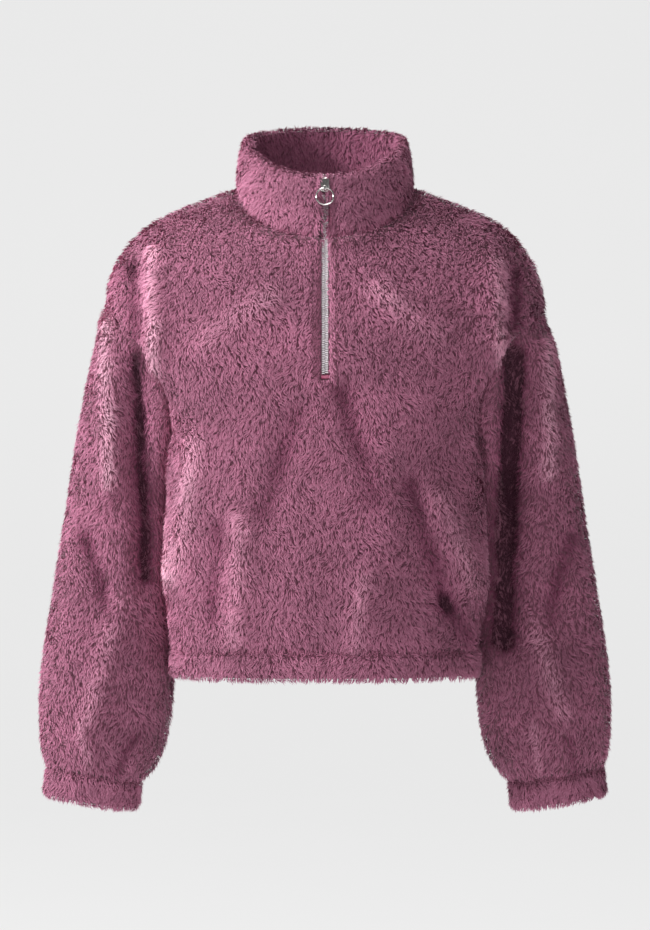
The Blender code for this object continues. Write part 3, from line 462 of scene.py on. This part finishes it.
def beside_zip(roots):
    """Which blades stand beside the zip, their way from its middle, and 0 to 1 over the way from its edge."""
    beside = np.abs(roots[:, 0])
    near = in_slit(roots) & (beside < SLIT_BESIDE)
    return near, beside, smooth((beside - SLIT_EDGE) / SLIT_BESIDE)


def blade_lengths(roots, seam, rng):
    """Full over the cloth, and shorter at seams, beside the zip and along its stitches."""
    near, beside, off = beside_zip(roots)
    length = BLADE_LENGTH * (1 + LENGTH_SPREAD * rng.uniform(-1, 1, len(roots)))
    length *= SEAM_PILE + (1 - SEAM_PILE) * smooth(seam / SEAM_GROOVE)
    length *= np.where(near, SLIT_PILE + (1 - SLIT_PILE) * off, 1)
    stitched = near & (np.abs(beside - STITCH_X) < STITCH_HALF)
    length *= np.where(stitched, STITCH_PILE, 1)
    return length


def turned_beside_zip(roots, lean):
    """The pile beside the zip: it leans over its edges in the collar and away from it lower down."""
    near, _, off = beside_zip(roots)
    aside = (near * (1 - off))[:, None]
    closed = smooth((roots[:, 2] - SLIT_OPEN) / (SLIT_CLOSED - SLIT_OPEN))
    away = np.zeros_like(lean)
    away[:, 0] = np.sign(roots[:, 0]) * (SLIT_AWAY - SLIT_OVER * closed)
    away[:, 2] = SLIT_DOWN
    return units(lean * (1 - SLIT_TURNED * aside) + away * aside), aside


def blade_corners(roots, normals, rise, middle, tip, rng):
    """The four corners of each blade, and the direction from which it is shaded."""
    count = len(roots)
    across = units(np.cross(rise, normals + NUDGE))
    twist = rng.uniform(-TWIST, TWIST, count)[:, None]
    across = across * np.cos(twist) + np.cross(rise, across) * np.sin(twist)
    flat = units(np.cross(across, tip - roots))
    across *= np.where((flat * normals).sum(axis=1) < 0, -1, 1)[:, None]
    width = (BLADE_HALF_WIDTH * rng.uniform(*WIDTH_RANGE, count))[:, None]
    corners = np.stack([roots, middle + across * width, tip, middle - across * width], axis=1)
    flat = units(np.cross(across, tip - roots))
    return corners, units(normals * SURFACE_SHADE + flat * (1 - SURFACE_SHADE))


def pile_tones(roots, tuft_count, nearest_tuft, rng):
    """A tone between 0 and 1 for each blade: by tuft, by blade and in patches."""
    tuft_tone = rng.random(tuft_count)[nearest_tuft]
    tone = 0.5 + TUFT_TONE * (tuft_tone - 0.5) + BLADE_TONE * rng.uniform(-0.5, 0.5, len(roots))
    tone = tone + PATCH_TONE * waves(roots, PATCH_SIZE, TONE_SEED)
    tone = tone + FINE_TONE * waves(roots, NAP_SIZE / 2, FINE_TONE_SEED)
    return np.clip(tone, 0, 1)


def painted_fold_light(node, roots, normals):
    """Painted light on the pile from the creases: painted highlight on a ridge (towards 1) and painted shade
    in a trough (towards 0), with painted shade on the collar's inner side.
    """
    middle_line = inside_points(node, roots)
    fold = crease_heights(node, roots, middle_line)
    fold_light = FOLD_LIGHT_NONE + 0.5 * np.sign(fold) * (np.abs(fold) / FOLD_LIGHT_FULL) ** FOLD_LIGHT_POWER
    # painted shade on the collar's inner side, where the neck shades it
    if node == "collar":
        inner = ((middle_line - roots) * normals).sum(axis=1) > 0
        fold_light -= INNER_PAINTED_SHADE * inner
    return np.clip(fold_light, 0, 1)


def grow_pile(node, shell, count, seed):
    """Corners, shading directions, tones and painted fold highlight and shade of all the blades on one cloth
    piece.
    """
    rng = np.random.default_rng(seed)
    dense_edge = TURNED_EDGE if node == "collar" else 0
    roots, normals, seam, area = scatter(shell, count, dense_edge, rng)
    length = blade_lengths(roots, seam, rng)

    tuft_count = max(int(area / TUFT_AREA), LEAST_TUFTS)
    centres = rng.choice(count, size=tuft_count, replace=False)
    _, nearest_tuft = nearest(roots, roots[centres])
    lying = nap(roots, normals, BLADE_CURL, rng)
    tuft_lying = nap(roots[centres], normals[centres], TUFT_CURL, rng)[nearest_tuft]
    curly = CURLY_MIDDLE + CURLY_ACROSS * np.tanh(roots[:, 0] / CURLY_WAY)
    curly = curly + CURLY_PATCHES * waves(roots, PATCH_SIZE, CURL_SEED)
    gather = np.clip(GATHER_BASE + GATHER_CURLY * curly, *GATHER_RANGE)[:, None]
    lean = units(lying * (1 - gather) + tuft_lying * gather)
    lean, aside = turned_beside_zip(roots, lean)

    stray = rng.normal(size=(count, 3))
    rise = units(normals + lean * RISE_LEAN + stray * RISE_STRAY)
    reach = units(normals * (REACH_UP - REACH_FLATTER * aside) + lean + stray * REACH_STRAY)
    middle = roots + rise * (BLADE_PART * length)[:, None]
    tip = middle + reach * (BLADE_PART * length)[:, None]

    tuft_root = roots[centres][nearest_tuft]
    tuft_normal = normals[centres][nearest_tuft]
    tuft_length = np.minimum(length, BLADE_LENGTH)[:, None]
    tuft_tip = tuft_root + (tuft_normal * TUFT_TIP_UP + tuft_lying * TUFT_TIP_ALONG) * tuft_length
    tuft_middle = tuft_root + tuft_normal * tuft_length * TUFT_MIDDLE_UP
    tip += (tuft_tip - tip) * (gather * TUFT_TIP_PULL) * (1 - aside)
    middle += (tuft_middle - middle) * (gather * TUFT_MIDDLE_PULL) * (1 - aside)

    corners, shade = blade_corners(roots, normals, rise, middle, tip, rng)
    tone = pile_tones(roots, tuft_count, nearest_tuft, rng)
    return corners, shade, tone, painted_fold_light(node, roots, normals)


def blade_mesh(name, corners, shade, tone, fold_light):
    """One mesh of blades: each has four corners and two triangles, and its own small cell in the UV map."""
    count = len(corners)
    base = np.arange(count)[:, None] * BLADE_CORNERS
    triangles = np.concatenate([base + [0, 1, 3], base + [3, 1, 2]], axis=1).reshape(-1, 3)
    mesh = bpy.data.meshes.new(name)
    mesh.vertices.add(count * BLADE_CORNERS)
    mesh.vertices.foreach_set("co", corners.ravel())
    mesh.loops.add(len(triangles) * 3)
    mesh.loops.foreach_set("vertex_index", triangles.ravel().astype(np.int32))
    mesh.polygons.add(len(triangles))
    mesh.polygons.foreach_set("loop_start", np.arange(0, len(triangles) * 3, 3, dtype=np.int32))
    mesh.update(calc_edges=True)
    mesh.shade_smooth()
    store_pile_colours(mesh, tone, fold_light)
    store_cells(mesh, triangles)
    mesh.normals_split_custom_set_from_vertices(np.repeat(shade, BLADE_CORNERS, axis=0).tolist())
    return add_object(name, mesh)


def store_pile_colours(mesh, tone, fold_light):
    """Stores, for the finish, the place along each blade, its tone and its painted highlight or shade from
    the creases.
    """
    along = np.tile([0.0, BLADE_WIDEST, 1.0, BLADE_WIDEST], len(tone))
    channels = (along, np.repeat(tone, BLADE_CORNERS), np.repeat(fold_light, BLADE_CORNERS), np.ones(len(along)))
    layer = mesh.color_attributes.new("pile", "FLOAT_COLOR", "POINT")
    layer.data.foreach_set("color", np.stack(channels, axis=1).ravel().astype(np.float32))


def store_cells(mesh, triangles):
    """Gives each blade its own cell in a square grid of the UV map."""
    count = len(mesh.vertices) // BLADE_CORNERS
    cells = math.ceil(math.sqrt(count))
    column, row = np.arange(count) % cells, np.arange(count) // cells
    u = (column[:, None] + np.array(CELL_U)) / cells
    v = (row[:, None] + np.array(CELL_V)) / cells
    uv = np.stack([u.ravel(), v.ravel()], axis=1)[triangles.ravel()]
    mesh.uv_layers.new(name="OFBake").uv.foreach_set("vector", uv.ravel().astype(np.float32))


def pile_pieces(pile, shell, seed):
    """The pile of one cloth piece, cut from left to right into as many pieces as it needs."""
    corners, shade, tone, fold_light = grow_pile(pile.node, shell, pile.blades, seed)
    order = np.argsort(corners[:, 0, 0], kind="stable")
    pieces = []
    for number, chosen in enumerate(np.array_split(order, pile.pieces)):
        name = pile.node + "_pile" + ("_" + str(number + 1) if pile.pieces > 1 else "")
        pieces.append(blade_mesh(name, corners[chosen], shade[chosen], tone[chosen], fold_light[chosen]))
    return pieces


def new_material(name):
    made = bpy.data.materials.new(name)
    made.use_nodes = True
    tree = made.node_tree
    return made, tree, tree.nodes["Principled BSDF"]


def set_inputs(node, values):
    for name, value in values.items():
        node.inputs[name].default_value = value


def texture(tree, kind, values):
    """A procedural texture over the piece's own space."""
    place = tree.nodes.new("ShaderNodeTexCoord")
    node = tree.nodes.new(kind)
    set_inputs(node, values)
    tree.links.new(place.outputs["Object"], node.inputs["Vector"])
    return node


def ramp(tree, source, stops):
    node = tree.nodes.new("ShaderNodeValToRGB")
    while len(node.color_ramp.elements) < len(stops):
        node.color_ramp.elements.new(0.5)
    for element, (place, colour) in zip(node.color_ramp.elements, stops):
        element.position = place
        element.color = (*colour, 1)
    tree.links.new(source, node.inputs[0])
    return node.outputs[0]


def mapped(tree, source, lowest, highest):
    """A value between 0 and 1, spread over another range."""
    node = tree.nodes.new("ShaderNodeMapRange")
    set_inputs(node, {"To Min": lowest, "To Max": highest})
    tree.links.new(source, node.inputs["Value"])
    return node.outputs[0]


def bump(tree, shader, height, strength, distance):
    node = tree.nodes.new("ShaderNodeBump")
    set_inputs(node, {"Strength": strength, "Distance": distance})
    tree.links.new(height, node.inputs["Height"])
    tree.links.new(node.outputs[0], shader.inputs["Normal"])


def pile_material():
    """Fleece fibres: dark plum at the root, raspberry along, dusty pink at the tip."""
    made, tree, shader = new_material("teddy_pile")
    attribute = tree.nodes.new("ShaderNodeAttribute")
    attribute.attribute_name = "pile"
    parts = tree.nodes.new("ShaderNodeSeparateColor")
    tree.links.new(attribute.outputs["Color"], parts.inputs[0])
    along, tone, fold_light = parts.outputs
    # painted highlight on crease ridges and painted shade in troughs and inside the collar, from the blue
    # channel
    value = tree.nodes.new("ShaderNodeMath")
    value.operation = "MULTIPLY"
    tree.links.new(mapped(tree, tone, *TONE_VALUES), value.inputs[0])
    tree.links.new(mapped(tree, fold_light, *FOLD_LIGHT_VALUES), value.inputs[1])
    vary = tree.nodes.new("ShaderNodeHueSaturation")
    tree.links.new(ramp(tree, along, PILE_COLOURS), vary.inputs["Color"])
    tree.links.new(value.outputs[0], vary.inputs["Value"])
    tree.links.new(mapped(tree, fold_light, *FOLD_LIGHT_SATURATIONS), vary.inputs["Saturation"])
    tree.links.new(vary.outputs[0], shader.inputs["Base Color"])
    set_inputs(shader, {"Roughness": 0.8, "Specular IOR Level": 0.25})
    set_inputs(shader, {"Sheen Weight": 0.30, "Sheen Roughness": 0.45, "Sheen Tint": PILE_SHEEN})
    return made


def knit_and_gap_shade_material():
    """The backing: a fine knit, seen on the inside; its dark colour is partly painted shade between the
    tufts.
    """
    made, tree, shader = new_material("knit_backing_and_gap_shade")
    grain = texture(tree, "ShaderNodeTexNoise", {"Scale": 420, "Detail": 3})
    loops = texture(
        tree, "ShaderNodeTexWave", {"Scale": 190, "Distortion": 1.5, "Detail": 1.0, "Detail Scale": 3.0}
    )
    tree.links.new(ramp(tree, grain.outputs["Fac"], KNIT_AND_GAP_SHADE_COLOURS), shader.inputs["Base Color"])
    bump(tree, shader, loops.outputs["Fac"], 0.5, 0.4 * MM)
    set_inputs(shader, {"Roughness": 0.9, "Sheen Weight": 0.3})
    return made


def woven_material():
    """Zip tape: a fine herringbone weave."""
    made, tree, shader = new_material("tape_weave")
    weave = texture(tree, "ShaderNodeTexWave", {"Scale": 260, "Distortion": 0.8})
    weave.bands_direction = "DIAGONAL"
    tree.links.new(ramp(tree, weave.outputs["Fac"], TAPE_COLOURS), shader.inputs["Base Color"])
    bump(tree, shader, weave.outputs["Fac"], 0.4, 0.2 * MM)
    set_inputs(shader, {"Roughness": 0.75})
    return made


def hard_material(name, colours, roughness, metallic, scale):
    """A moulded or metal finish with faint wear in its colour and gloss."""
    made, tree, shader = new_material(name)
    wear = texture(tree, "ShaderNodeTexNoise", {"Scale": scale, "Detail": 4})
    colour = ramp(tree, wear.outputs["Fac"], tuple(zip(WEAR_PLACES, colours)))
    tree.links.new(colour, shader.inputs["Base Color"])
    gloss = mapped(tree, wear.outputs["Fac"], *(roughness * share for share in GLOSS_RANGE))
    tree.links.new(gloss, shader.inputs["Roughness"])
    set_inputs(shader, {"Metallic": metallic})
    return made


def chain_front(z):
    """The chain's front surface beside the middle of the zip, at a height."""
    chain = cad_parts["zip_chain"]
    hit, place, _, _ = chain.ray_cast(Vector((MM, -1, z)), Vector((0, 1, 0)))
    return place.y if hit else None


def tooth_corners(side, place, run, inward):
    """Three sections of one tooth, from its narrow tip to its foot, with four corners each."""
    middle = (TOOTH_REACH[0] + TOOTH_REACH[1]) / 2
    sections = (
        (-TOOTH_STANDS_OUT, TOOTH_TIP),
        (-TOOTH_STANDS_OUT * TOOTH_SHOULDER, 1.0),
        (TOOTH_DEPTH, 1.0),
    )
    corners = []
    for depth, shrink in sections:
        width = TOOTH_WIDTH_KEPT + (1 - TOOTH_WIDTH_KEPT) * shrink
        for reach, up in TOOTH_CORNERS:
            x = side * (middle + (TOOTH_REACH[reach] - middle) * width)
            corner = Vector((x, *place)) + run * (up * TOOTH_HALF_HEIGHT * shrink) + inward * depth
            corners.append(corner)
    return corners


def tooth_faces(start):
    """The sides between a tooth's sections, and its two ends."""
    faces = []
    for section in (start, start + 4):
        for corner in range(4):
            after = (corner + 1) % 4
            faces.append((section + corner, section + after, section + 4 + after, section + 4 + corner))
    faces.append((start + 3, start + 2, start + 1, start))
    faces.append((start + 8, start + 9, start + 10, start + 11))
    return faces


def build_teeth(finish):
    """Two columns of moulded teeth that mesh along the middle, drawn as one piece."""
    low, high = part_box("zip_chain")
    half_pitch = TOOTH_PITCH / 2
    verts, faces = [], []
    for step, z in enumerate(np.arange(low[2] + TOOTH_PITCH, high[2] - TOOTH_PITCH, half_pitch)):
        y, above = chain_front(z), chain_front(z + half_pitch)
        if y is None or above is None:
            continue
        run = Vector((0, above - y, half_pitch)).normalized()
        inward = Vector((0, run.z, -run.y))
        faces += tooth_faces(len(verts))
        verts += tooth_corners(1 if step % 2 else -1, (y, z), run, inward)
    mesh = bpy.data.meshes.new("zip_teeth")
    mesh.from_pydata(verts, [], faces)
    build = bmesh.new()
    build.from_mesh(mesh)
    bmesh.ops.recalc_face_normals(build, faces=build.faces)
    build.to_mesh(mesh)
    build.free()
    mesh.materials.append(finish)
    return add_object("zip_teeth", mesh)


def rounded_copy(node, name, finish):
    """A hard piece in the place of its solid, with its edges rounded."""
    build = bmesh.new()
    build.from_mesh(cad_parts[node].data)
    bmesh.ops.remove_doubles(build, verts=build.verts, dist=MERGE)
    bmesh.ops.dissolve_limit(build, angle_limit=FLAT_ANGLE, verts=build.verts, edges=build.edges)
    shared = [edge for edge in build.edges if len(edge.link_faces) == 2]
    sharp = [edge for edge in shared if edge.calc_face_angle() > SHARP_ANGLE]
    bmesh.ops.bevel(
        build,
        geom=sharp,
        offset=ROUNDED,
        segments=ROUND_SEGMENTS,
        profile=ROUND_PROFILE,
        affect="EDGES",
        clamp_overlap=True,
    )
    mesh = bpy.data.meshes.new(name)
    build.to_mesh(mesh)
    build.free()
    mesh.shade_smooth()
    mesh.set_sharp_from_angle(angle=SMOOTH_ANGLE)
    mesh.materials.append(finish)
    made = add_object(name, mesh)
    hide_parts(node)
    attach(made, "garment")


def build_ring(finish):
    """The pull ring as a finer torus in the place of its solid."""
    low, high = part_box("zip_pull_ring")
    centre = Vector([(low[axis] + high[axis]) / 2 for axis in range(3)])
    depth, height = (high[axis] - low[axis] - 2 * RING_WIRE_RADIUS for axis in (1, 2))
    lean = math.atan2(depth, height)
    up = Vector((0, math.sin(lean), math.cos(lean)))
    through = Vector((1, 0, 0)).cross(up)
    total = RING_SEGMENTS * RING_WIRE_SEGMENTS
    verts, faces = [], []
    for i in range(RING_SEGMENTS):
        turn = 2 * math.pi * i / RING_SEGMENTS
        outward = Vector((1, 0, 0)) * math.cos(turn) + up * math.sin(turn)
        first = i * RING_WIRE_SEGMENTS
        for j in range(RING_WIRE_SEGMENTS):
            angle = 2 * math.pi * j / RING_WIRE_SEGMENTS
            wire = outward * math.cos(angle) + through * math.sin(angle)
            verts.append(centre + outward * RING_MEAN_RADIUS + wire * RING_WIRE_RADIUS)
            a, b = first + j, first + (j + 1) % RING_WIRE_SEGMENTS
            faces.append((a, (a + RING_WIRE_SEGMENTS) % total, (b + RING_WIRE_SEGMENTS) % total, b))
    mesh = bpy.data.meshes.new("pull_ring")
    mesh.from_pydata(verts, [], faces)
    mesh.shade_smooth()
    mesh.materials.append(finish)
    made = add_object("pull_ring", mesh)
    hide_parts("zip_pull_ring")
    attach(made, "zip_pull")


def build_cloth():
    """The knit shell and the pile of each cloth piece."""
    pile_finish, knit_and_gap_shade_finish = pile_material(), knit_and_gap_shade_material()
    for seed, pile in enumerate(PILES):
        shell = knit_shell(pile.node)
        shell.data.materials.clear()
        shell.data.materials.append(knit_and_gap_shade_finish)
        tufts = pile_pieces(pile, shell, seed + 1)
        for piece in tufts:
            piece.data.materials.append(pile_finish)
        for piece in (shell, *tufts):
            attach(piece, "garment")
        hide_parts(pile.node)


def build_zip():
    """Teeth, tapes, slider, stops and pull ring."""
    teeth = build_teeth(hard_material("tooth_plastic", TOOTH_COLOURS, 0.35, 0.0, 500))
    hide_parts("zip_chain")
    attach(teeth, "garment")
    weave = woven_material()
    for side in ("left", "right"):
        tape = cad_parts["zip_tape_" + side]
        tape.data.materials.clear()
        tape.data.materials.append(weave)
    steel = hard_material("polished_steel", STEEL_COLOURS, 0.20, 1.0, 700)
    stop = hard_material("stop_plastic", STOP_COLOURS, 0.35, 0.0, 600)
    rounded_copy("zip_slider", "slider", steel)
    rounded_copy("zip_top_stop", "top_stop", steel)
    rounded_copy("zip_bottom_stop", "bottom_stop", stop)
    build_ring(steel)


def stage_material():
    """Pale studio paper that glows a little, so that it is even."""
    made, tree, shader = new_material("studio_paper")
    grain = texture(tree, "ShaderNodeTexNoise", {"Scale": 3})
    tree.links.new(ramp(tree, grain.outputs["Fac"], PAPER_COLOURS), shader.inputs["Base Color"])
    set_inputs(shader, {"Roughness": 1.0, "Specular IOR Level": 0.0})
    set_inputs(shader, {"Emission Color": WHITE, "Emission Strength": PAPER_GLOW})
    return made


def build_stage():
    """A pale floor that sweeps up into the wall behind."""
    profile = [(-STAGE_HALF, FLOOR_Z)]
    for step in range(SWEEP_STEPS + 1):
        angle = math.pi / 2 * step / SWEEP_STEPS
        y = WALL_Y - SWEEP_RADIUS + SWEEP_RADIUS * math.sin(angle)
        profile.append((y, FLOOR_Z + SWEEP_RADIUS * (1 - math.cos(angle))))
    profile.append((WALL_Y, FLOOR_Z + STAGE_HALF))
    verts = [(x, y, z) for y, z in profile for x in (-STAGE_HALF, STAGE_HALF)]
    faces = [(2 * i, 2 * i + 1, 2 * i + 3, 2 * i + 2) for i in range(len(profile) - 1)]
    mesh = bpy.data.meshes.new("studio_sweep")
    mesh.from_pydata(verts, [], faces)
    mesh.shade_smooth()
    mesh.materials.append(stage_material())
    made = add_object("studio_sweep", mesh)


def build_lights():
    """Three soft lamps and a faint even light from all round."""
    for lamp in LIGHTS:
        light = bpy.data.lights.new(lamp.name, "AREA")
        light.shape = "DISK"
        light.size = lamp.size
        light.energy = lamp.power
        made = add_object(lamp.name, light)
        made.location = lamp.place
        toward = Vector(lamp.target) - Vector(lamp.place)
        made.rotation_euler = toward.to_track_quat("-Z", "Y").to_euler()
    world = bpy.data.worlds.new("studio")
    world.use_nodes = True
    set_inputs(world.node_tree.nodes["Background"], {"Color": WHITE, "Strength": WORLD_STRENGTH})
    bpy.context.scene.world = world


def build_camera():
    camera = bpy.data.cameras.new("camera")
    camera.lens = CAMERA_LENS
    camera.sensor_width = CAMERA_SENSOR
    made = add_object("camera", camera)
    made.location = (0, -CAMERA_DISTANCE, CAMERA_HEIGHT)
    made.rotation_euler = (math.pi / 2, 0, 0)
    bpy.context.scene.camera = made


build_cloth()
build_zip()
build_stage()
build_lights()
build_camera()
bpy.context.scene.view_settings.view_transform = "Standard"
